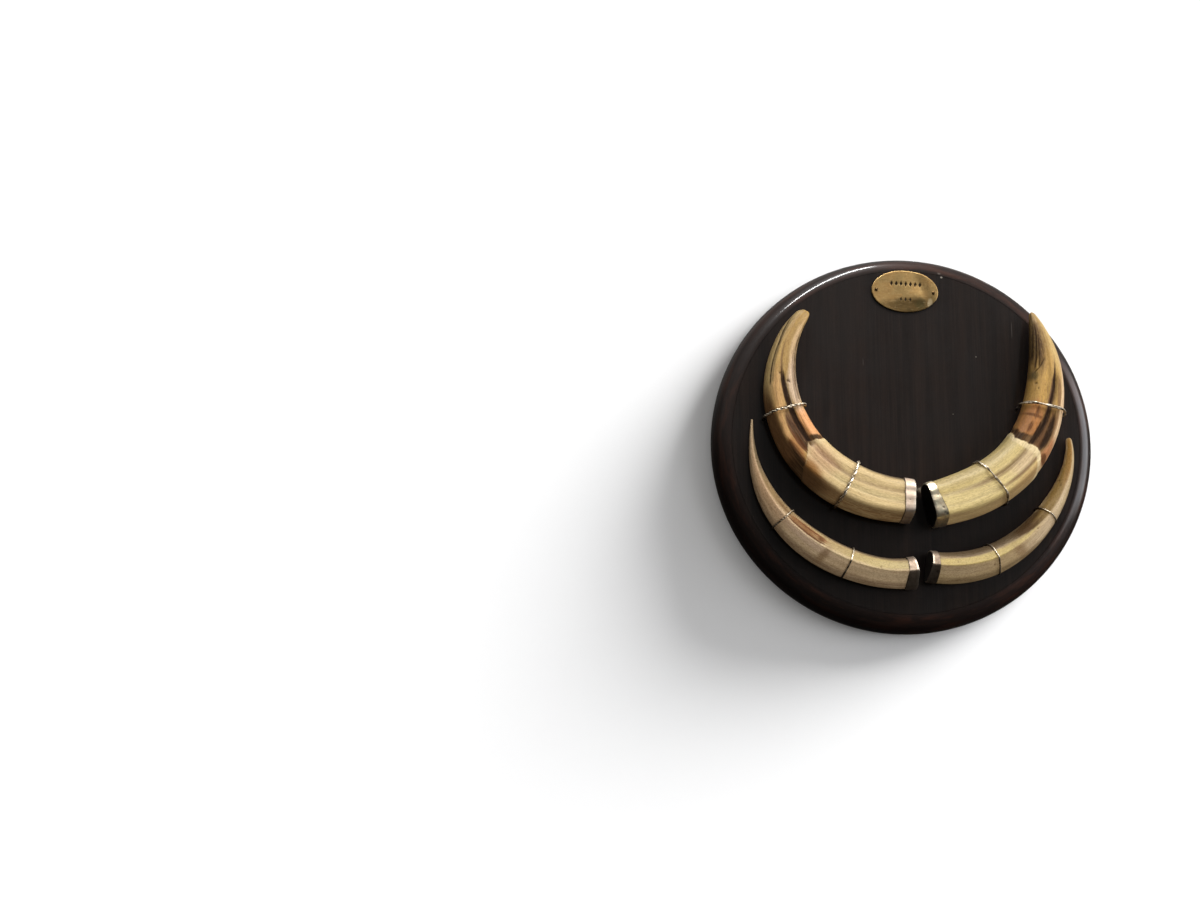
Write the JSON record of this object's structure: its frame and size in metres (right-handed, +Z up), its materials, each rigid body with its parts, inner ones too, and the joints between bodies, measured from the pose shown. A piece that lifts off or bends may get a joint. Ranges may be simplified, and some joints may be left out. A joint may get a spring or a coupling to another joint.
{
  "type": "warthog tusk wall plaque",
  "caption": "Round dark hardwood wall plaque with curved upper and lower warthog tusks in silver root caps, bound on with wire, below a blank oval brass plate.",
  "frame": {"origin": "centre of the plaque's flat back, which lies against the wall", "axes": "+Y into the wall, +Z up, +X to the right as seen from the front; the tusks stand out towards -Y"},
  "size_m": [0.32, 0.0588, 0.32],
  "materials": {
    "board_wood": "very dark brown stain under worn satin lacquer",
    "upper_ivory": "dry satin tusk enamel and dentine, cream to orange-brown with near-black grooves",
    "lower_ivory": "dry satin greyish cream tusk dentine",
    "cap_silver": "hand-formed silver sheet, dented and lightly tarnished",
    "binding_wire": "bright drawn wire, slightly yellowed",
    "plate_brass": "aged satin brass",
    "hanger_steel": "dull zinc-plated steel"
  },
  "bodies": {
    "root": {"board": "board_wood", "name_plate": "plate_brass", "plate_pin_left": "plate_brass", "plate_pin_right": "plate_brass", "upper_left_tusk": "upper_ivory", "upper_right_tusk": "upper_ivory", "lower_left_tusk": "lower_ivory", "lower_right_tusk": "lower_ivory", "upper_left_cap": "cap_silver", "upper_right_cap": "cap_silver", "lower_left_cap": "cap_silver", "lower_right_cap": "cap_silver", "upper_left_root_wire": "binding_wire", "upper_left_middle_wire": "binding_wire", "upper_right_root_wire": "binding_wire", "upper_right_middle_wire": "binding_wire", "lower_left_root_wire": "binding_wire", "lower_left_middle_wire": "binding_wire", "lower_right_root_wire": "binding_wire", "lower_right_middle_wire": "binding_wire", "hanger_strip": "hanger_steel", "hanger_nail_left": "hanger_steel", "hanger_nail_right": "hanger_steel"}
  },
  "joints": []
}
